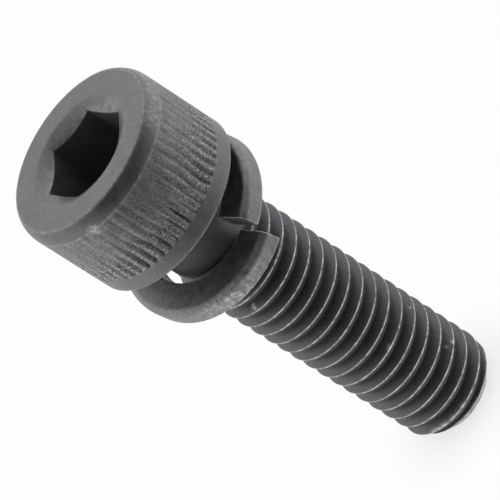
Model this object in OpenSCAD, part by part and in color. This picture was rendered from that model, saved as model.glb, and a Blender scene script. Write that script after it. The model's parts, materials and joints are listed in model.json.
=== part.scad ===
// Hex socket cap screw with its split lock washer, standing on its flat tip.
// The screw is drawn along Z in its own frame: the bearing face of the head is at
// z = 0, the head is below it and the tip is above. placed() then turns the head up.

/* [Head] */
// How far the side of the head stands out beyond the crests of the thread
head_step = 2.6; // [2.3:0.05:3.1]
// Height of the head, from the bearing face to the top face
head_h = 7.65; // [7.2:0.05:8.6]
// Height of the smooth rounded band between the top face and the knurl
crown_h = 1.1; // [0.6:0.1:1.6]
// How far that band draws in from the side to the edge of the flat top face
crown_w = 0.4; // [0.35:0.05:0.8]
// Height of the plain band between the knurl and the bearing face
plain_h = 1.35; // [1:0.05:2]
// Chamfer between the plain band and the bearing face
rim_chamfer = 0.15; // [0.1:0.05:0.4]

/* [Knurl] */
// Number of straight teeth round the head
knurl_n = 58; // [44:1:70]
// Depth of the grooves between the teeth
knurl_depth = 0.22; // [0.1:0.02:0.3]
// Part of each tooth pitch that stays at the full diameter
knurl_land = 0.4; // [0.25:0.05:0.6]

/* [Socket] */
// Width of the hexagon across its flats
socket_af = 6.2; // [5.9:0.05:6.4]
// Depth of the hexagon's walls below the top face
socket_depth = 4.5; // [4:0.1:5]
// Angle round the screw of one corner of the hexagon, in degrees
socket_turn = 14; // [0:0.5:59.5]
// Slope of the cone at the bottom of the socket, in degrees
bottom_angle = 30; // [15:1:40]
// Diameter of the countersink at the mouth of the socket
mouth_d = 8.5; // [7.6:0.1:9]
// Slope of the countersink, from the plane of the top face, in degrees
mouth_angle = 30; // [20:1:45]

/* [Shank] */
// Length from the bearing face to the tip
shank_l = 28; // [22:0.5:40]
// How far the smooth neck under the head stands inside the crests of the thread
neck_step = 0.5; // [0.4:0.05:0.6]
// Length of the smooth neck
neck_l = 4; // [3.6:0.1:5]
// Radius of the fillet between the neck and the bearing face
neck_fillet = 0.4; // [0.2:0.05:0.5]

/* [Thread] */
// Diameter over the crests of the thread
thread_d = 7.8; // [7.6:0.05:8]
// Axial distance from one crest to the next
thread_pitch = 1.25; // [1.1:0.05:1.4]
// Radial depth of the thread, from crest to root
thread_depth = 0.65; // [0.5:0.05:0.65]
// Axial width of the flat on each crest
thread_crest = 0.26; // [0.2:0.02:0.3]
// Angle between the two flanks of a groove, in degrees
thread_angle = 60; // [50:1:62]
// Distance along which the thread rises out of the neck
thread_runout = 1.25; // [0.8:0.05:2]
// Angle round the screw at which a crest crosses the bearing face plane, in degrees
thread_turn = 127.5; // [-180:0.5:180]
// How far the chamfer at the tip cuts in from the crests
tip_chamfer = 1.3; // [0.8:0.05:1.4]

/* [Lock washer] */
// How far the washer's outer edge stays inside the side of the head
washer_inset = 0.1; // [0.1:0.02:0.3]
// Play of the washer's bore over the crests of the thread, across the diameter
washer_play = 0.3; // [0.1:0.05:0.5]
// Thickness of the washer's section
washer_t = 1.6; // [1.2:0.1:1.8]
// How far one turn of the washer climbs along its own axis
washer_rise = 2.2; // [1.7:0.1:2.4]
// Angle left open between the two cut ends, in degrees
washer_split = 2; // [1:0.5:6]
// Direction round the screw in which the washer leans to the tip, in degrees
washer_way = 121.5; // [0:0.5:360]
// Angle from that direction to the split, in degrees
washer_turn = -51.5; // [-70:0.5:-30]
// Radius on the outer edge that faces the head
washer_round = 0.5; // [0.3:0.05:0.6]
// Chamfer on the washer's other edges
washer_edge = 0.15; // [0.1:0.05:0.2]
// Gap left in the washer's bore where it meets the screw
washer_slack = 0.03; // [0.02:0.01:0.1]
// Gap between the washer's foot, its side nearest the head, and the bearing face
washer_gap = 0.24; // [0.1:0.02:0.6]
// How far the washer sits to one side, as seen in that direction
washer_side = -0.1; // [-0.2:0.02:0.2]

/* [Hidden] */
$fn = 96;
eps = 0.05;

crest_r = thread_d / 2;
head_r = crest_r + head_step;
face_r = head_r - crown_w;
root_r = crest_r - thread_depth;
neck_r = crest_r - neck_step;
tip_r = crest_r - tip_chamfer;
washer_r = head_r - washer_inset;
bore_r = crest_r + washer_play / 2;

// The rounded band is tangent to the side of the head and meets the top face at an edge
crown_r = (crown_h * crown_h + crown_w * crown_w) / (2 * crown_w);
knurl_top = head_h - crown_h;

// The washer's lean solves 2 * bore_r * cos(lean) - span * sin(lean) = room for the neck on
// one side and a crest on the other, where span is the height of the bore between the two
washer_span = washer_rise / 2 + washer_t - 2 * washer_edge;
washer_room = neck_r + crest_r + 2 * washer_slack;
washer_lean = acos(washer_room / norm([2 * bore_r, washer_span])) - atan(washer_span / (2 * bore_r));

// How far the coil has fallen from its tip-side end by the time it reaches the foot
foot_fall = washer_rise * (180 - washer_turn) / 360;
washer_drop = neck_r + washer_slack + (foot_fall + washer_t - washer_edge) * sin(washer_lean)
    - bore_r * cos(washer_lean);
washer_z = washer_gap + (foot_fall + washer_t) * cos(washer_lean)
    + (washer_r - washer_round) * sin(washer_lean);

// Facets of one turn of the thread, and of the washer
turn_n = 36;
washer_n = 96;

module cap_screw() {
    color("#3f4044") {
        head();
        neck();
        threaded_shank();
    }
}

module head() {
    difference() {
        rotate_extrude() head_profile();
        knurl_grooves();
        socket();
    }
}

// Half section of the head: top face, rounded band, side and rim chamfer
module head_profile() {
    crown_x = head_r - crown_r;
    difference() {
        polygon([
            [0, -head_h],
            [head_r, -head_h],
            [head_r, -rim_chamfer],
            [head_r - rim_chamfer, 0],
            [0, 0]
        ]);
        difference() {
            translate([crown_x, -head_h - eps])
                square([crown_r + eps, crown_h + eps]);
            translate([crown_x, -knurl_top])
                circle(crown_r);
        }
    }
}

// The straight grooves between the teeth, cut into the side of the head
module knurl_grooves() {
    pitch = 360 / knurl_n;
    half_land = pitch * knurl_land / 2;
    over_r = head_r + eps;
    groove_r = head_r - knurl_depth;
    translate([0, 0, -knurl_top])
        linear_extrude(knurl_top - plain_h)
            for (i = [0 : knurl_n - 1])
                rotate(i * pitch)
                    polygon([
                        over_r * [cos(half_land), sin(half_land)],
                        groove_r * [cos(pitch / 2), sin(pitch / 2)],
                        over_r * [cos(pitch - half_land), sin(pitch - half_land)]
                    ]);
}

// Hexagonal socket with a conical bottom and a countersunk mouth
module socket() {
    mouth_r = mouth_d / 2;
    corner_r = socket_af / 2 / cos(30);
    translate([0, 0, -head_h]) {
        rotate(socket_turn)
            translate([0, 0, -eps])
                cylinder(r = corner_r, h = socket_depth + eps, $fn = 6);
        translate([0, 0, -eps])
            cylinder(r1 = mouth_r + eps / tan(mouth_angle), r2 = 0, h = mouth_r * tan(mouth_angle) + eps);
        translate([0, 0, socket_depth - eps])
            cylinder(r1 = socket_af / 2 - eps, r2 = 0, h = socket_af / 2 * tan(bottom_angle));
    }
}

// Smooth neck, with its fillet into the bearing face
module neck() {
    buried = head_h / 4;
    rotate_extrude()
        difference() {
            translate([0, -buried])
                square([neck_r + neck_fillet, buried + neck_l]);
            translate([neck_r, neck_fillet])
                square([neck_fillet + eps, neck_l]);
            translate([neck_r + neck_fillet, neck_fillet])
                circle(neck_fillet);
        }
}

// The helical thread, trimmed square at the neck and by the chamfer at the tip
module threaded_shank() {
    over_r = crest_r + eps;
    intersection() {
        thread_form();
        rotate_extrude()
            polygon([
                [0, neck_l - eps],
                [over_r, neck_l - eps],
                [over_r, shank_l - over_r + tip_r],
                [tip_r, shank_l],
                [0, shank_l]
            ]);
    }
}

// One closed helical surface: flank, crest, flank and root, shared from turn to turn
module thread_form() {
    // The first turn starts inside the neck, off the round heights at which the trims cut
    run_in = 1.45 * thread_pitch;
    start_z = neck_l - run_in;
    turns = ceil((shank_l - start_z) / thread_pitch) + 1;
    n = turns * turn_n;
    last = n - 1;
    flank = thread_depth * tan(thread_angle / 2);
    steps = [0, flank, flank + thread_crest, 2 * flank + thread_crest];
    radii = [root_r, crest_r, crest_r, root_r];
    m = len(steps);
    start_r = neck_r - eps;
    // The crest crosses z = 0 at thread_turn, so the first point's angle follows from its height
    start_turn = thread_turn + 360 * (start_z + flank + thread_crest / 2) / thread_pitch;
    function rise(z) = min(1, max(0, (z - neck_l) / thread_runout));
    function at(i, k) =
        let (
            z = start_z + thread_pitch * i / turn_n,
            r = start_r + (radii[k] - start_r) * rise(z),
            a = start_turn + 360 * i / turn_n
        )
        [r * cos(a), r * sin(a), z + steps[k]];
    caps = [[0, 0, start_z], [0, 0, start_z + thread_pitch * (turns + 1)]];
    points = concat(
        caps,
        [for (i = [0 : last], k = [0 : m - 1]) at(i, k)],
        [for (i = [n : n + turn_n]) at(i, 0)]
    );
    // Index of point k of station i; past the last station only the first points go on
    function id(i, k) = len(caps) + (i < n ? m * i + k : m * n + i - n);
    // The point that follows along the profile: the next one, or the first of the next turn
    function after(i, k) = k < m - 1 ? id(i, k + 1) : id(i + turn_n, 0);
    function quad(a, b, c, d) = [[a, b, c], [a, c, d]];
    faces = concat(
        [for (i = [0 : last - 1], k = [0 : m - 1])
            each quad(id(i, k), after(i, k), after(i + 1, k), id(i + 1, k))],
        [for (i = [0 : turn_n - 1]) [0, id(i, 0), id(i + 1, 0)]],
        [[0, id(turn_n, 0), for (k = [m - 1 : -1 : 0]) id(0, k)]],
        [for (i = [last : last + turn_n - 1]) [1, id(i + 1, 0), id(i, 0)]],
        [[1, for (k = [0 : m - 1]) id(last, k), id(last + turn_n, 0)]]
    );
    polyhedron(points, faces, convexity = 10);
}

module lock_washer() {
    color("#38393d") leaning() split_ring();
}

// The split ring: a rounded section swept once round, climbing towards the tip
module split_ring() {
    arc_n = 4;
    arc_r = washer_r - washer_round;
    section = concat(
        [[bore_r, washer_edge], [bore_r + washer_edge, 0]],
        [for (j = [0 : arc_n])
            let (a = 90 * j / arc_n - 90)
            [arc_r + washer_round * cos(a), washer_round + washer_round * sin(a)]],
        [[washer_r, washer_t - washer_edge], [washer_r - washer_edge, washer_t]],
        [[bore_r + washer_edge, washer_t], [bore_r, washer_t - washer_edge]]
    );
    m = len(section);
    sweep = 360 - washer_split;
    function station(i) =
        let (
            a = washer_turn + washer_split / 2 + sweep * i / washer_n,
            climb = washer_rise * (1 - i / washer_n)
        )
        [for (p = section) [p[0] * cos(a), p[0] * sin(a), p[1] + climb]];
    points = [for (i = [0 : washer_n], p = station(i)) p];
    function id(i, k) = m * i + k % m;
    faces = concat(
        [[for (k = [0 : m - 1]) id(0, k)]],
        [[for (k = [m - 1 : -1 : 0]) id(washer_n, k)]],
        [for (i = [0 : washer_n - 1], k = [0 : m - 1])
            each [
                [id(i, k), id(i + 1, k), id(i + 1, k + 1)],
                [id(i, k), id(i + 1, k + 1), id(i, k + 1)]
            ]]
    );
    polyhedron(points, faces, convexity = 6);
}

// The loose washer is cocked on the neck, leaning to the tip as far as its bore lets it:
// the bore meets the neck on the side of the foot and the first crest on the other side
module leaning() {
    rotate(washer_way)
        translate([-washer_drop, washer_side, washer_z])
            rotate([0, -washer_lean, 0])
                translate([0, 0, -washer_rise - washer_t])
                    children();
}

// Stands the screw on its tip, over the origin, with the head up
module placed() {
    translate([0, 0, shank_l])
        rotate([180, 0, 0])
            children();
}

placed() cap_screw();
placed() lock_washer();
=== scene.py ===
# %% [markdown]
# A black cap screw with its split lock washer
#
# The screw stands on its flat tip, and a spring washer sits loose and askew on its neck. Three
# things make it look real: a thread that is a true helix, a head whose knurl is pressed in and
# worn again, and a thin black oxide that is bright where it mirrors the white tent and nearly
# black where it faces the dark side with the camera.
#
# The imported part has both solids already, with few facets and hard edges. Modifiers could round
# them, but they would round every edge alike. Here each solid gets a finer skin of the same
# sizes, so that each edge has the wear that it has on the real screw.

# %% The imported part
import json
import math

import bmesh
import bpy
import numpy as np
from mathutils import Matrix, Vector


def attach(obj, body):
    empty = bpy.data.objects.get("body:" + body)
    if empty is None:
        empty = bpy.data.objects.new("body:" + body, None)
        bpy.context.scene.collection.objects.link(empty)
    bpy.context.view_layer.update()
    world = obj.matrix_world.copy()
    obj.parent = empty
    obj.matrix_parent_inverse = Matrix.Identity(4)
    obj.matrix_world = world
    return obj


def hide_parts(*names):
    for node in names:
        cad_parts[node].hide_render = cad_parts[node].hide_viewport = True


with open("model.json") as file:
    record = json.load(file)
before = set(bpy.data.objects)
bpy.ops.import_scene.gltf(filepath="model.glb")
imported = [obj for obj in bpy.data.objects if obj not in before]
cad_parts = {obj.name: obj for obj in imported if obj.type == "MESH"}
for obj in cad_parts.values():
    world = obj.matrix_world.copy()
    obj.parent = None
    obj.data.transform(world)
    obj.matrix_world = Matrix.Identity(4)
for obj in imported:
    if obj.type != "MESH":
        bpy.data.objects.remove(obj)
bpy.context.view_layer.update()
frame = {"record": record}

# %% [markdown]
# The screw's own frame
#
# Everything on a screw is turned or rolled round one axis, so the meshes are made in millimetres
# with that axis as Z: the bearing face of the head at 0, the head below it, the tip above. One
# matrix then turns them head up. It could be typed in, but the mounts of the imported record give
# the axis and both of its ends, so nothing has to be fitted by eye.

# %% The axis, from the mounts
MM = 0.001
mounts = {m["name"]: m for m in frame["record"]["mounts"]}
face_at = Vector(mounts["key_socket"]["pos_m"]) / MM
tip_at = Vector(mounts["tip_end"]["pos_m"]) / MM
head_h = 7.65
shank_l = 28.0
axis = (tip_at - face_at).normalized()
# The side that faces the camera becomes Y, and X follows from the two
front = Vector((0, -1, 0))
across = front.cross(axis)
bearing_at = face_at + axis * head_h
stand_up = Matrix.Translation(bearing_at * MM) @ Matrix((across, front, axis)).transposed().to_4x4()
print("ends", round((tip_at - face_at).length, 3), "mm apart, from the sizes", head_h + shank_l)

# %% [markdown]
# Skins made of rings
#
# Nearly everything here is round, so its surface can be made of rings of points that strips
# join. A Screw modifier does that too, but with one count of points all the way, and this head
# needs hundreds for its knurl while the neck needs few. Two rings of different counts can still
# be joined if the strip between them steps round both at once, and the skin stays closed. Each
# point also carries two marks for the finishes: how bare the edge there is worn, and how much
# of the knurl's rubbed land it is.


# %% A skin that grows ring by ring
class Skin:
    def __init__(self):
        self.points, self.edge, self.land = [], [], []
        self.faces, self.finish = [], []
        self.now = 0

    def add(self, points, edge=0.0, land=0.0):
        """Adds points with their marks, one value for all of them or one for each."""
        first = len(self.points)
        self.points += points
        count = len(points)
        self.edge += [edge] * count if isinstance(edge, (int, float)) else list(edge)
        self.land += [land] * count if isinstance(land, (int, float)) else list(land)
        return list(range(first, first + count))

    def face(self, *corners):
        """Adds a face in the finish that is in hand now."""
        self.faces.append(corners)
        self.finish.append(self.now)

    def strip(self, a, b):
        """Joins two closed rings of equal count."""
        for i in range(len(a)):
            j = (i + 1) % len(a)
            self.face(a[i], a[j], b[j], b[i])

    def zip(self, a, a_turns, b, b_turns):
        """Joins two closed rings of any count; the turns say how far round each point is."""
        i, j, n, m = 0, 0, len(a), len(b)
        while i < n or j < m:
            next_a = a_turns[(i + 1) % n] + (i + 1) // n if i < n else math.inf
            next_b = b_turns[(j + 1) % m] + (j + 1) // m if j < m else math.inf
            if next_a <= next_b:
                self.face(a[i % n], a[(i + 1) % n], b[j % m])
                i += 1
            else:
                self.face(a[i % n], b[(j + 1) % m], b[j % m])
                j += 1


# %% From a skin to an object
# Faces that meet at more than this angle keep a hard edge between them
SHARP_FROM = math.radians(32)
# Points closer than this many millimetres are one point
SAME_POINT = 0.00001


def piece(name, skin, finishes):
    """Makes an object of a skin, stood up as the screw stands, with its marks and finishes."""
    mesh = bpy.data.meshes.new(name)
    mesh.from_pydata([Vector(p) * MM for p in skin.points], [], skin.faces)
    mesh.attributes.new("edge", "FLOAT", "POINT").data.foreach_set("value", skin.edge)
    mesh.attributes.new("land", "FLOAT", "POINT").data.foreach_set("value", skin.land)
    mesh.polygons.foreach_set("material_index", skin.finish)
    shape = bmesh.new()
    shape.from_mesh(mesh)
    bmesh.ops.remove_doubles(shape, verts=shape.verts, dist=SAME_POINT * MM)
    bmesh.ops.recalc_face_normals(shape, faces=shape.faces)
    open_edges = sum(not e.is_manifold for e in shape.edges)
    shape.to_mesh(mesh)
    shape.free()
    mesh.shade_smooth()
    mesh.set_sharp_from_angle(angle=SHARP_FROM)
    for finish in finishes:
        mesh.materials.append(finish)
    obj = bpy.data.objects.new(name, mesh)
    bpy.context.collection.objects.link(obj)
    obj.matrix_world = stand_up
    print(name, len(mesh.vertices), "points", len(mesh.polygons), "faces", open_edges, "open edges")
    return obj


# %% [markdown]
# Black oxide
#
# Hot blacking grows a skin of magnetite about a micrometre thick. It is dark, but it is as
# smooth as the steel below it, so it mirrors softly: a pale grey where it sees the white tent
# and nearly black where it sees nothing. It wears through first on edges and crests, where bare
# steel shines. It could be a dark paint with a coat, but paint would look grey from every side.
# So one recipe makes all the finishes here out of metal. It starts from a dark metal, mottles it
# at two scales, lets a broken noise turn the marked edges bright, as wear and in a few places as a
# painted highlight, and roughens it with a fine grain. Grain and mottle are given in real
# millimetres.


# %% Helpers for colours and nodes
def linear(hex_colour):
    """An sRGB colour as written, in the linear values that shaders take."""
    parts = [int(hex_colour[i:i + 2], 16) / 255 for i in (1, 3, 5)]
    return tuple(p / 12.92 if p <= 0.04045 else ((p + 0.055) / 1.055) ** 2.4 for p in parts) + (1,)


def add_node(tree, kind, settings=None, **inputs):
    """Adds a node; an input is a value or another node's socket."""
    node = tree.nodes.new(kind)
    for key, value in (settings or {}).items():
        setattr(node, key, value)
    for key, value in inputs.items():
        socket = node.inputs[int(key[1:]) if key[1:].isdigit() else key.replace("_", " ")]
        if isinstance(value, bpy.types.NodeSocket):
            tree.links.new(value, socket)
        else:
            socket.default_value = value
    return node


def new_tree(name):
    """A material with no nodes yet, and its tree."""
    material = bpy.data.materials.new(name)
    material.use_nodes = True
    material.node_tree.nodes.clear()
    return material, material.node_tree


print("a middle grey #808080 is", round(linear("#808080")[0], 3), "in linear values")

# %% The recipe for a blackened steel
# The real grain is a few hundredths of a millimetre, and is drawn coarser so that it shows
GRAIN_MM = 0.13
# Wear breaks up in patches about as wide as a crest of the thread
PATCH_MM = 0.35


# A stretch below 1 pulls the mottle out along the screw, wear says how much of a marked edge
# turns bright, as bare steel and on a few marks as a painted highlight, and specks how many grains
# of a rubbed land are bright
def black_oxide(name, dark, pale, worn, rough, mottle_mm=0.9, wear=0.5, specks=0.0, stretch=1.0,
                relief_mm=0.012):
    """A blackened steel: dark and pale mottle, bright where the marks say: wear and painted
    highlights.
    """
    material, tree = new_tree(name)
    place = add_node(tree, "ShaderNodeTexCoord").outputs["Object"]
    # Mottle and grain together pick a grey between dark and pale. A noise stays near the middle
    # of its range, so each ramp spreads only the part that it reaches
    pulled = add_node(tree, "ShaderNodeMapping", Vector=place, Scale=(1, 1, stretch)).outputs[0]
    mottle = add_node(tree, "ShaderNodeTexNoise", Vector=pulled, Scale=1 / (mottle_mm * MM),
                      Detail=5.0, Roughness=0.65)
    grain = add_node(tree, "ShaderNodeTexNoise", Vector=place, Scale=1 / (GRAIN_MM * MM),
                     Detail=3.0)
    both = add_node(tree, "ShaderNodeMath", {"operation": "MULTIPLY_ADD"},
                    i0=grain.outputs["Fac"], i1=0.7, i2=mottle.outputs["Fac"])
    spread = add_node(tree, "ShaderNodeMapRange", i0=both.outputs[0], i1=0.6, i2=1.1)
    base = add_node(tree, "ShaderNodeMix", {"data_type": "RGBA"},
                    i0=spread.outputs[0], i6=linear(dark), i7=linear(pale))
    # Worn edges and painted highlights: the mark, broken up by patches
    edge = add_node(tree, "ShaderNodeAttribute", {"attribute_name": "edge"}).outputs["Fac"]
    patches = add_node(tree, "ShaderNodeTexNoise", Vector=place, Scale=1 / (PATCH_MM * MM),
                       Detail=4.0, Roughness=0.7)
    patchy = add_node(tree, "ShaderNodeMapRange", i0=patches.outputs["Fac"],
                      i1=0.65 - 0.3 * wear, i2=0.75 - 0.1 * wear)
    bare_and_glint = add_node(tree, "ShaderNodeMath", {"operation": "MULTIPLY"},
                    i0=patchy.outputs[0], i1=edge)
    # Flecks: single grains that are bright on the rubbed lands
    land = add_node(tree, "ShaderNodeAttribute", {"attribute_name": "land"}).outputs["Fac"]
    speck = add_node(tree, "ShaderNodeMapRange", i0=grain.outputs["Fac"],
                     i1=0.66 - 0.2 * specks, i2=0.7)
    fleck = add_node(tree, "ShaderNodeMath", {"operation": "MULTIPLY"},
                     i0=speck.outputs[0], i1=land)
    shown = add_node(tree, "ShaderNodeMath", {"operation": "MAXIMUM"},
                     i0=bare_and_glint.outputs[0], i1=fleck.outputs[0])
    # Marked grains take the worn colour: bare steel, and on a few marks a painted highlight
    colour = add_node(tree, "ShaderNodeMix", {"data_type": "RGBA"},
                      i0=shown.outputs[0], i6=base.outputs[2], i7=linear(worn))
    # The oxide is a little rougher in one patch of the mottle than in the next
    dull = add_node(tree, "ShaderNodeMapRange", i0=mottle.outputs["Fac"], i1=0.3, i2=0.7,
                    i3=rough - 0.07, i4=rough + 0.07)
    relief = add_node(tree, "ShaderNodeBump", Strength=0.35, Distance=relief_mm * MM,
                      Height=both.outputs[0])
    skin = add_node(tree, "ShaderNodeBsdfPrincipled", Base_Color=colour.outputs[2], Metallic=1.0,
                    Roughness=dull.outputs[0], Normal=relief.outputs[0])
    add_node(tree, "ShaderNodeOutputMaterial", Surface=skin.outputs[0])
    return material


# %% [markdown]
# Six finishes from one bath
#
# Screw and washer are alloy steel and come out of the same blacking bath, yet each face looks
# different, because the oxide copies what it grows on: forged, pressed, punched, rolled, drawn
# or coiled. One material with a mask for each face would do it too. A finish for each, with
# its own roughness, mottle and wear, is easier to tune against the photo, one face at a time.
# A blackened steel is a metal, so it keeps the default IOR, and its roughness runs from about
# 0.4 for a rubbed face to 0.75 for one that no tool has polished.

# %% The finishes
# Upset and turned faces of the head: a satin grey skin with a faint mottle
forged = black_oxide("black oxide on the forged head", "#6d6c6d", "#878686", "#c6c5c2", 0.42,
                     wear=0.9)
# The knurl: its lands are rubbed by fingers and show grey flecks, its grooves stay black
knurled = black_oxide("black oxide on the knurl", "#626163", "#a3a2a3", "#d2d1ce", 0.5,
                      mottle_mm=0.5, wear=1.0, specks=0.8, stretch=0.35, relief_mm=0.02)
# The socket: a punched wall that no tool has polished, dull and dark
punched = black_oxide("black oxide in the socket", "#6e6d70", "#807f82", "#9a9a98", 0.75)
# The thread: even flanks from the rolling dies, crests with a thin bright line, partly worn and
# partly a painted highlight
rolled = black_oxide("black oxide on the thread", "#656467", "#79787b", "#e6e5e1", 0.5, wear=1.1)
# The neck: plain drawn rod that no die has touched, so it is dull and evenly dark
drawn = black_oxide("black oxide on the drawn neck", "#858485", "#9a999a", "#c6c5c2", 0.7)
# The washer: coiled from spring wire and blackened in the same bath, with a softer sheen
sprung = black_oxide("black oxide on the spring washer", "#787779", "#9f9ea1", "#d6d5d2", 0.5,
                     mottle_mm=0.6, wear=0.8)
screw_finishes = [forged, knurled, punched, rolled, drawn]
FORGED, KNURLED, PUNCHED, ROLLED, DRAWN = range(len(screw_finishes))
print("finishes", [finish.name for finish in screw_finishes + [sprung]])

# %% [markdown]
# The head
#
# The blank of a cap screw is cold-forged, and its side is rolled into straight teeth for the
# fingers. Each tooth keeps a little of the full diameter and has a shallow V beside it. The teeth
# could be cut out with booleans, 58 of them, but wear makes each one a little different and lets
# the grooves fade towards the top. So the half section is walked from the mouth of the socket
# over the top face, down the side and in to the neck, and every ring of the walk gives way by
# the depth of the knurl there.

# %% Head sizes
head_r = 6.5
face_r = 6.1
mouth_r = 4.25
crown_h = 1.1
knurl_top = crown_h - head_h
knurl_bottom = -1.35
rim_chamfer = 0.15
neck_r = 3.4
neck_l = 4.0
neck_fillet = 0.4

# The crown is an arc that runs smoothly into the side and meets the top face at an edge
crown_w = head_r - face_r
crown_r = (crown_h**2 + crown_w**2) / (2 * crown_w)
steep = math.degrees(math.asin(crown_h / crown_r))
print("crown of", round(crown_r, 3), "mm, it leans", round(steep, 1), "degrees at the top face")

# %% Teeth of the knurl
# The V takes 0.6 of a tooth's width, and its points lie closer than those of the land
teeth = 58
knurl_depth = 0.22
half_groove = 0.3
shallowest = 0.55
# At the top this much of the depth is left, and wear reaches over this part of the height
worn_depth = 0.15
worn_part = 0.75
tooth_steps = (0, 0.1, 0.2, 0.26, 0.32, 0.38, 0.44, 0.5, 0.56, 0.62, 0.68, 0.74, 0.8, 0.9)
tooth_turns = [(tooth + step) / teeth for tooth in range(teeth) for step in tooth_steps]
tooth_depth = np.random.default_rng(8).uniform(shallowest, 1, teeth)
print("grooves from", round(tooth_depth.min() * knurl_depth, 3), "mm to",
      round(tooth_depth.max() * knurl_depth, 3), "mm deep")


def groove(turn):
    """Depth of the knurl round the head: 0 on a tooth's land and 1 in a deep groove."""
    tooth = int(turn * teeth + 1e-6) % teeth
    return tooth_depth[tooth] * max(0.0, 1 - abs((turn * teeth) % 1 - 0.5) / half_groove)


def depth_left(z):
    """How much of the knurl's depth is left: its upper part is worn, its lower part is sharp."""
    share = min(1.0, max(0.0, (z - knurl_top) / (knurl_bottom - knurl_top) / worn_part))
    return worn_depth + (1 - worn_depth) * share**3


# %% The walk over the head
def arc(centre, radius, start, end, count):
    """Points (radius, height) on an arc of the half section, by angles from straight outward."""
    angles = np.radians(np.linspace(start, end, count))
    return [(centre[0] + radius * math.cos(a), centre[1] + radius * math.sin(a)) for a in angles]


# The grooves start and end over this height. Each step of the walk below gives the radius, the
# height, the share of the knurl's depth and the wear of the edge
ramp = 0.16
# The top face and its edge
walk = [(r, -head_h, 0, 0) for r in (mouth_r + 0.15, 4.7, 5.4, face_r - 0.2)]
walk += [(face_r - 0.08, -head_h + 0.004, 0, 0.2), (face_r - 0.02, -head_h + 0.04, 0, 0.5)]
# The crown, and the knurl
walk += [(r, z, 0, 0.1 if i == 0 else 0) for i, (r, z) in
         enumerate(arc((head_r - crown_r, knurl_top), crown_r, -steep, 0, 12)[1:-1])]
walk += [(head_r, knurl_top, 0, 0.3), (head_r, knurl_top + ramp * 0.5, 0.6 * worn_depth, 0.5)]
walk += [(head_r, z, depth_left(z), 0)
         for z in np.linspace(knurl_top + ramp, knurl_bottom - ramp, 24)]
walk += [(head_r, knurl_bottom - ramp * 0.4, 0.7, 0.2), (head_r, knurl_bottom, 0, 0.3)]
# The plain band, its worn edge, and the bearing face
walk += [(head_r, z, 0, 0) for z in (knurl_bottom + 0.06, -0.6, -rim_chamfer - 0.05)]
walk += [(head_r - 0.015, -rim_chamfer + 0.02, 0, 1), (head_r - rim_chamfer + 0.03, -0.02, 0, 1)]
walk += [(head_r - rim_chamfer - 0.04, 0, 0, 0.3), (5.5, 0, 0, 0), (4.5, 0, 0, 0)]
# The fillet, and the neck
walk += [(r, z, 0, 0) for r, z in
         arc((neck_r + neck_fillet, neck_fillet), neck_fillet, 270, 180, 7)]
walk += [(neck_r, z, 0, 0) for z in (1.0, 2.0, 3.0)]
print("rings over the head", len(walk), "points round each", len(tooth_turns))


# %% Rings round the head
def lathe_ring(radius, height, turns, cut=0.0):
    """Points round the axis, drawn in where the knurl cuts."""
    points = []
    for turn in turns:
        r = radius - cut * knurl_depth * groove(turn)
        angle = 2 * math.pi * turn
        points.append((r * math.cos(angle), r * math.sin(angle), height))
    return points


screw = Skin()
head_rings = []
for r, z, cut, wear in walk:
    lands = [cut * (1 - groove(turn)) for turn in tooth_turns]
    head_rings.append(screw.add(lathe_ring(r, z, tooth_turns, cut), wear, lands))
for k in range(len(walk) - 1):
    on_neck = walk[k][1] > 0.9 * neck_fillet
    screw.now = KNURLED if walk[k][2] or walk[k + 1][2] else DRAWN if on_neck else FORGED
    screw.strip(head_rings[k], head_rings[k + 1])
print("faces of the head", len(screw.faces))

# %% [markdown]
# The socket
#
# A punch presses the hexagon into the blank, a short countersink leads the key in, and the
# bottom is the cone of the punch. A boolean would cut it with razor edges. Rings that follow the
# hexagon leave room for a soft lip, and the edge where the countersink meets the flats dips in
# the middle of each flat, as it does where a cone cuts a prism.

# %% Socket sizes
socket_af = 6.2
socket_depth = 4.5
socket_turn = 14 / 360
slope = math.tan(math.radians(30))
socket_turns = sorted((k / 240 + socket_turn) % 1 for k in range(240))


def hexagon(turn):
    """Radius of the hexagon at a place round it, with a corner at socket_turn."""
    off = ((turn - socket_turn) * 6) % 1 - 0.5
    return socket_af / 2 / math.cos(off * math.pi / 3)


def cone(turn):
    """Depth at which the countersink meets the wall."""
    return (mouth_r - hexagon(turn)) * slope


def socket_ring(radius_at, depth_at, wear=0.0):
    """A ring whose radius and depth below the top face change round the socket."""
    points = []
    for turn in socket_turns:
        r, angle = radius_at(turn), 2 * math.pi * turn
        points.append((r * math.cos(angle), r * math.sin(angle), depth_at(turn) - head_h))
    return screw.add(points, wear)


print("the countersink is", round(cone(socket_turn), 2), "mm deep at a corner and",
      round(cone(socket_turn + 1 / 12), 2), "mm at a flat")

# %% Socket rings
# From the top face over the soft lip and down the countersink
socket_rings = [
    socket_ring(lambda turn: mouth_r + 0.08, lambda turn: 0.003),
    socket_ring(lambda turn: mouth_r + 0.02, lambda turn: 0.018, 0.1),
    socket_ring(lambda turn: mouth_r - 0.06, lambda turn: 0.05),
    socket_ring(lambda turn: 0.5 * mouth_r + 0.5 * hexagon(turn), lambda turn: 0.5 * cone(turn)),
    socket_ring(lambda turn: hexagon(turn) + 0.03, lambda turn: cone(turn) - 0.01, 0.4),
    socket_ring(hexagon, lambda turn: cone(turn) + 0.03, 0.4),
]
at_wall = len(socket_rings) - 2
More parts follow.
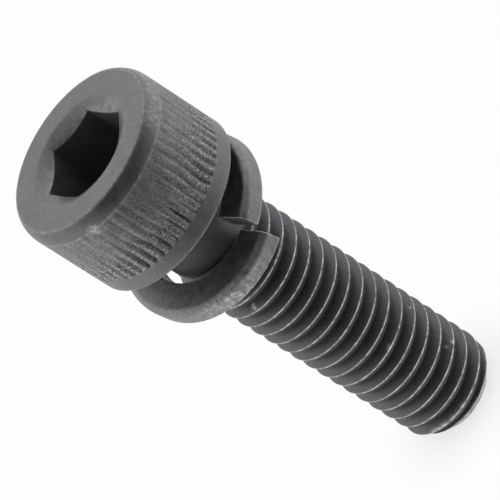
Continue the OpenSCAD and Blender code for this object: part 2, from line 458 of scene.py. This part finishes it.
# Down the flats, and in over the bottom
for down in (0.25, 0.5, 0.75, 1):
    socket_rings.append(socket_ring(
        hexagon, lambda turn: cone(turn) * (1 - down) + socket_depth * down))
for out in (1, 0.7, 0.4, 0.1):
    floor_r = out * socket_af / 2
    floor_depth = socket_depth + (socket_af / 2 - floor_r) * slope
    socket_rings.append(socket_ring(lambda turn: floor_r, lambda turn: floor_depth))
for k in range(len(socket_rings) - 1):
    screw.now = FORGED if k < at_wall else PUNCHED
    screw.strip(socket_rings[k], socket_rings[k + 1])
screw.face(*socket_rings[-1])
screw.now = FORGED
screw.zip(socket_rings[0], socket_turns, head_rings[0], tooth_turns)
print("rings in the socket", len(socket_rings), "deepest", round(floor_depth, 2), "mm")

# %% [markdown]
# The thread
#
# A thread is rolled: dies press a groove into the blank and raise the crest beside it. It could
# be a stack of V-shaped rings, which looks alike from afar, but its crests would not climb and
# no nut would turn on it. A Screw modifier makes a true helix, but not its two ends. So code
# moves one profile, drawn over one pitch, along a helix, and each turn starts on the points
# where the last one ended. Near the head the profile rises out of the neck, and at the tip
# every point is held inside the bevelled end.

# %% Thread sizes
pitch = 1.25
crest_r = 3.9
thread_depth = 0.65
crest_w = 0.26
runout = 1.25
tip_r = 2.6
thread_turn = 127.5 / 360
turn_steps = 120
flank = thread_depth * math.tan(math.radians(30))
reach = crest_w / 2 + flank

# The profile over one pitch: distance from the middle of the crest, depth below it, wear. The
# crest is marked bright in one thin line on its side towards the tip, partly bare wear and partly
# a painted highlight
profile = [
    # The flank towards the head
    (-reach, thread_depth, 0),
    (-reach + 0.04, thread_depth - 0.04, 0),
    (-reach + 0.25 * flank, thread_depth * 0.75, 0),
    (-reach + 0.5 * flank, thread_depth * 0.5, 0),
    (-0.24, 0.195, 0),
    # The rounded crest
    (-0.18, 0.1, 0),
    (-0.12, 0.035, 0),
    (-0.07, 0.01, 0),
    # The thin line on the crest: partly wear, partly a painted highlight
    (-0.03, 0.0, 0.4),
    (0.01, 0.0, 1),
    (0.07, 0.01, 1),
    (0.12, 0.035, 0.2),
    (0.18, 0.1, 0),
    # The flank towards the tip
    (0.24, 0.195, 0),
    (reach - 0.5 * flank, thread_depth * 0.5, 0),
    (reach - 0.25 * flank, thread_depth * 0.75, 0),
    (reach - 0.04, thread_depth - 0.04, 0),
    (reach, thread_depth, 0),
]
print("flank", round(flank, 3), "mm wide, root", round(pitch - 2 * reach, 3), "mm wide")

# %% The way of the helix
# The helix starts a pitch early, so that its first turn is whole. The points before
# shank_start are all laid on the ring there, and the doubles are welded later
shank_start = 3.9
first_z = shank_start - pitch
first_turn = thread_turn + first_z / pitch
turns = math.ceil((shank_l - first_z) / pitch) + 2
bevel_wear, end_wear = 0.9, 0.1
# Points nearer to the axis than this become the one point that closes the tip
least_r = 0.1


def thread_point(station, along, depth, wear):
    """A point of the thread's skin between the neck and the bevelled tip, and its wear."""
    z = first_z + pitch * station / turn_steps + along
    angle = 2 * math.pi * (first_turn + station / turn_steps)
    rise = min(1.0, max(0.0, (z - neck_l) / runout))
    r = neck_r + (crest_r - depth - neck_r) * rise
    wear *= rise
    bevel_r = tip_r + shank_l - z
    if r > bevel_r:
        r, wear = bevel_r, bevel_wear
    if z < shank_start:
        z, r = shank_start, neck_r
    if z > shank_l:
        # Past the end the points close the flat tip in a spiral
        r = tip_r * (1 - (z - shank_l) / pitch)
        z, r, wear = shank_l, r if r > least_r else 0.0, end_wear
    return (r * math.cos(angle), r * math.sin(angle), z), wear


print("turns of the helix", turns, "with those that end on the neck's ring and on the flat tip")

# %% Turns of the thread
screw.now = ROLLED
before = len(screw.faces)
stations = turns * turn_steps
columns = []
for i in range(stations + turn_steps + 1):
    made = [thread_point(i, *step) for step in (profile if i < stations else profile[:1])]
    columns.append(screw.add([point for point, _ in made], [wear for _, wear in made]))
for i in range(stations - 1):
    a = columns[i] + columns[i + turn_steps][:1]
    b = columns[i + 1] + columns[i + 1 + turn_steps][:1]
    for k in range(len(profile)):
        screw.face(a[k], a[k + 1], b[k + 1], b[k])
print("faces of the thread", len(screw.faces) - before)

# %% Neck to thread
screw.now = DRAWN
shank_turns = sorted((first_turn + i / turn_steps) % 1 for i in range(turn_steps))
neck_ring = screw.add(lathe_ring(neck_r, shank_start, shank_turns))
screw.zip(neck_ring, shank_turns, head_rings[-1], tooth_turns)
print("the neck joins", len(tooth_turns), "points to", len(shank_turns))

# %% [markdown]
# Knocks, rubs and scuffs
#
# A screw that has lain in a drawer is bright in a few odd places where others have hit it.
# They could be painted on, but a painted mark needs a map of the surface. Here each one is
# a place round the screw, and the points near it get a higher mark of wear, which the finishes
# turn to bare steel. A strength over 1 is bare all over, and under 1 the patches show through.

# %% Spots that were knocked or rubbed bright
# Degrees round the screw, distance from the bearing face towards the tip, reach, strength
spots = [
    # A rub where the knurl meets the crown
    (126, -6.5, 0.6, 1.2),
    # Knocks on the crests, from the tip to the neck, and two small nicks
    (43.6, 23.5, 0.28, 2.0),
    (50, 23.15, 0.12, 1.1),
    (33.7, 19.45, 0.12, 1.1),
    (88, 18.65, 0.3, 1.8),
    (132, 8.5, 0.2, 1.8),
]
# The last crest is marked bright in a wide band on the side toward the camera
spots += [(turn, 26.2 + (turn - 117) / 360 * pitch, 0.2, 0.9) for turn in range(94, 146, 2)]
# Scuffs along the crown, under the top face
spots += [(turn, -7.0, 0.7, 0.5) for turn in range(-10, 56, 6)]

places = np.array(screw.points)
radii = np.hypot(places[:, 0], places[:, 1])
around = np.arctan2(places[:, 1], places[:, 0])
edges = np.array(screw.edge)
for turn, height, reach_mm, strength in spots:
    off = np.angle(np.exp(1j * (around - math.radians(turn))))
    away = np.hypot(off * radii, places[:, 2] - height) / reach_mm
    edges = np.maximum(edges, strength * np.clip(1.5 - 1.5 * away, 0, 1) * (radii > neck_r))
print("points worn by the spots", int((edges > np.array(screw.edge)).sum()))
screw.edge = edges.tolist()

# %% The finished screw
cap_screw = piece("screw", screw, screw_finishes)
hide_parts("cap_screw")
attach(cap_screw, "root")

# %% [markdown]
# The lock washer
#
# A lock washer is a short length of spring wire, coiled left-handed for one turn and cut, so
# that its two ends bite when the screw tries to loosen. A curve with a bevel object could carry
# its section round, but a section swept in code gives each corner its own wear and both cut
# ends a bevel. Its outer edge is well rounded on the side of the head. It sits askew, caught by
# its bore between the neck on one side and the first crest on the other.

# %% Washer sizes
washer_r = 6.4
bore_r = 4.05
washer_t = 1.6
washer_rise = 2.2
washer_split = 2.0
washer_turn = -51.5
washer_way = math.radians(121.5)
round_r = 0.5
edge_r = 0.15
slack = 0.03
foot_gap = 0.24
to_side = -0.1

# The bore spans the screw from the neck to a crest, so the lean solves
# 2 * bore_r * cos(lean) - span * sin(lean) = room
span = washer_rise / 2 + washer_t - 2 * edge_r
room = neck_r + crest_r + 2 * slack
lean = math.acos(room / math.hypot(2 * bore_r, span)) - math.atan(span / (2 * bore_r))
fall = washer_rise * (180 - washer_turn) / 360
drop = neck_r + slack + (fall + washer_t - edge_r) * math.sin(lean) - bore_r * math.cos(lean)
lift = foot_gap + (fall + washer_t) * math.cos(lean) + (washer_r - round_r) * math.sin(lean)
askew = (Matrix.Rotation(washer_way, 4, "Z") @ Matrix.Translation((-drop, to_side, lift))
         @ Matrix.Rotation(-lean, 4, "Y") @ Matrix.Translation((0, 0, -washer_rise - washer_t)))
print("the washer leans", round(math.degrees(lean), 2), "degrees")

# %% The section of the wire
# Each corner: centre, radius, and the angles where its bend starts and ends
corners = [
    ((bore_r + edge_r, edge_r), edge_r, 180, 270),
    ((washer_r - round_r, round_r), round_r, 270, 360),
    ((washer_r - edge_r, washer_t - edge_r), edge_r, 0, 90),
    ((bore_r + edge_r, washer_t - edge_r), edge_r, 90, 180),
]
section, section_wear = [], []
for centre, radius, start, end in corners:
    rounded = radius == round_r
    bend = arc(centre, radius, start, end, 9 if rounded else 5)
    section += bend
    section_wear += [0.2 if rounded else 0.8] * len(bend)

# Points just inside each flat keep the wear on the corners and off the flats
worn_w = 0.05
for i in reversed(range(len(section))):
    here, there = section[i], section[(i + 1) % len(section)]
    if math.dist(here, there) > 4 * worn_w:
        near_it = worn_w / math.dist(here, there)
        section[i + 1:i + 1] = [tuple(a + (b - a) * t for a, b in zip(here, there))
                                for t in (near_it, 1 - near_it)]
        section_wear[i + 1:i + 1] = [0, 0]
print("points in the section", len(section))

# %% Places along the turn
bevel = 0.05
sweep = 360 - washer_split
first_step = math.degrees(bevel / washer_r)
steps = [0, first_step] + list(np.linspace(1, sweep - 1, 180)) + [sweep - first_step, sweep]
middle = ((bore_r + washer_r) / 2, washer_t / 2)
print("steps of the sweep", len(steps))


def shrunk(point, by):
    """A point of the section drawn in towards its middle."""
    out = math.dist(point, middle)
    return [m + (p - m) * (1 - by / out) for p, m in zip(point, middle)]


# %% The sweep
# One arm is painted bright on its outside, a painted highlight on the side that faces the camera:
# most at this many degrees from its end, then less and less
highlight_at, highlight_width, highlight_most = 40, 40, 1.1
outside = washer_r - 0.3
washer = Skin()
rings = []
for step in steps:
    angle = math.radians(washer_turn + washer_split / 2 + step)
    climb = washer_rise * (1 - step / sweep)
    ring = [shrunk(p, bevel) if step in (0, sweep) else p for p in section]
    points = [askew @ Vector((r * math.cos(angle), r * math.sin(angle), z + climb))
              for r, z in ring]
    # The painted highlight fades with the distance from that place along the arm
    highlight = max(0.0, highlight_most - abs(step - highlight_at) / highlight_width)
    marks = [max(mark, highlight) if p[0] > outside else mark
             for mark, p in zip(section_wear, section)]
    # Both cut ends are marked bright all round: partly the bare burr of the cut, partly a painted
    # glint
    near_end = step <= first_step or step >= sweep - first_step
    rings.append(washer.add(points, [1.0] * len(ring) if near_end else marks))
for a, b in zip(rings, rings[1:]):
    washer.strip(a, b)
for end in (rings[0], rings[-1]):
    # A ring of dull points inside the edge keeps the bright mark, wear and painted glint, off the
    # cut face
    outline = [Vector(washer.points[k]) for k in end]
    heart = sum(outline, Vector()) / len(outline)
    dull = washer.add([tuple(p.lerp(heart, 0.2)) for p in outline])
    washer.strip(end, dull)
    washer.face(*dull)

# %% The finished washer
lock_washer = piece("washer", washer, [sprung])
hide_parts("lock_washer")
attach(lock_washer, "root")

# %% [markdown]
# The camera and the tent
#
# Small parts are photographed in a tent of white cloth with one dark hole, where the camera
# looks in. A dark mirror such as this one shows exactly that: every surface that faces the
# camera mirrors the hole and turns black, and every surface that turns away mirrors white. Area
# lamps could stand in for the cloth, but each would show as a patch with an edge. So the world
# itself is the tent, white with a soft dark cap round the camera's place, and no lamp is
# needed. The table follows the same rule by the direction in which the part sees it.

# %% The camera
# It looks down at the head from the front through a long lens, and is turned on its side
elevation, roll = math.radians(31.7), math.radians(-57.21)
aim = Vector((0.5609, 0, 20.4518)) * MM
distance = 391.2 * MM
back = Vector((0, -math.cos(elevation), math.sin(elevation)))
lens = bpy.data.cameras.new("camera")
lens.lens = 422.2
lens.sensor_width = 36
lens.clip_start, lens.clip_end = 0.01, 20
camera = bpy.data.objects.new("camera", lens)
bpy.context.collection.objects.link(camera)
camera.rotation_mode = "QUATERNION"
camera.location = aim + back * distance
level_look = (-back).to_track_quat("-Z", "Y")
camera.rotation_quaternion = level_look @ Matrix.Rotation(roll, 3, "Z").to_quaternion()
bpy.context.scene.camera = camera
print("the camera shows", round(distance / MM * lens.sensor_width / lens.lens, 1), "mm")


# %% The white tent with its dark side
# The cosine of the angle to the camera where the dark cap starts, and where it is darkest
cap_starts, cap_full, cap_level = 0.0, 0.82, 0.16


def tent(tree, direction):
    """How bright the tent is in a direction, as the part sees it: dark round the camera."""
    toward = add_node(tree, "ShaderNodeVectorMath", {"operation": "DOT_PRODUCT"},
                      i0=direction, i1=tuple(back))
    level = add_node(tree, "ShaderNodeMapRange", {"interpolation_type": "SMOOTHSTEP"},
                     i0=toward.outputs["Value"], i1=cap_starts, i2=cap_full, i3=1.0, i4=cap_level)
    ray = add_node(tree, "ShaderNodeLightPath")
    return add_node(tree, "ShaderNodeMath", {"operation": "MAXIMUM"},
                    i0=level.outputs[0], i1=ray.outputs["Is Camera Ray"]).outputs[0]


world = bpy.data.worlds.new("tent")
bpy.context.scene.world = world
world.use_nodes = True
cloth = world.node_tree
cloth.nodes.clear()
looking = add_node(cloth, "ShaderNodeTexCoord").outputs["Generated"]
light = add_node(cloth, "ShaderNodeBackground", Color=linear("#ffffff"),
                 Strength=tent(cloth, looking))
add_node(cloth, "ShaderNodeOutputWorld", Surface=light.outputs[0])
bpy.context.scene.view_settings.view_transform = "Standard"
print("the", world.name, "is dark within", round(math.degrees(math.acos(cap_full))),
      "degrees of the camera and white from", round(math.degrees(math.acos(cap_starts))))

# %% [markdown]
# The table
#
# The screw stands on white paper that has no edge in sight. A backdrop that curves up would do,
# but the camera looks down and sees the paper alone, so one flat sheet is enough.

# %% The table
half = 3
plane = bpy.data.meshes.new("table")
plane.from_pydata([(x * half, y * half, 0) for x, y in ((-1, -1), (1, -1), (1, 1), (-1, 1))],
                  [], [(0, 1, 2, 3)])
table = bpy.data.objects.new("table", plane)
bpy.context.collection.objects.link(table)
print("the table is", 2 * half, "m wide")

# %% [markdown]
# White paper on the table
#
# Matt paper under a tent with a dark side comes out grey. More light would make it white, but
# would bleach the screw too. So the camera and the metal see it glow as the cloth does, where 1
# is white, and the dark cap is worked out from the way to the middle of the screw. A glow alone
# would swallow the shadow where the tip stands, so it dims within a few millimetres of the tip.

# %% The paper
# The glow hides nearly all of the matt white below it
glow_share = 0.97
# Right at the tip the glow keeps this much of its strength, and all of it this far away
shadow_level = 0.75
shadow_mm = 4
screw_middle = (0, 0, 20 * MM)
paper, tree = new_tree("white paper")
spot = add_node(tree, "ShaderNodeTexCoord").outputs["Object"]
way = add_node(tree, "ShaderNodeVectorMath", {"operation": "SUBTRACT"},
               i0=spot, i1=screw_middle)
way = add_node(tree, "ShaderNodeVectorMath", {"operation": "NORMALIZE"}, i0=way.outputs[0])
ray = add_node(tree, "ShaderNodeLightPath")
seen = add_node(tree, "ShaderNodeMath", {"operation": "MAXIMUM"},
                i0=ray.outputs["Is Camera Ray"], i1=ray.outputs["Is Glossy Ray"])
glowing = add_node(tree, "ShaderNodeMath", {"operation": "MULTIPLY"},
                   i0=seen.outputs[0], i1=glow_share)
matt = add_node(tree, "ShaderNodeBsdfDiffuse", Color=linear("#f8f8f8"))
near = add_node(tree, "ShaderNodeAmbientOcclusion", {"samples": 8}, Distance=shadow_mm * MM)
shade = add_node(tree, "ShaderNodeMapRange",
                 i0=near.outputs["AO"], i1=0.0, i2=1.0, i3=shadow_level, i4=1.0)
bright = add_node(tree, "ShaderNodeMath", {"operation": "MULTIPLY"},
                  i0=shade.outputs[0], i1=tent(tree, way.outputs[0]))
glow = add_node(tree, "ShaderNodeEmission", Color=linear("#ffffff"), Strength=bright.outputs[0])
mixed = add_node(tree, "ShaderNodeMixShader", i0=glowing.outputs[0], i1=matt.outputs[0],
                 i2=glow.outputs[0])
add_node(tree, "ShaderNodeOutputMaterial", Surface=mixed.outputs[0])
plane.materials.append(paper)
print("the paper has", len(tree.nodes), "nodes")
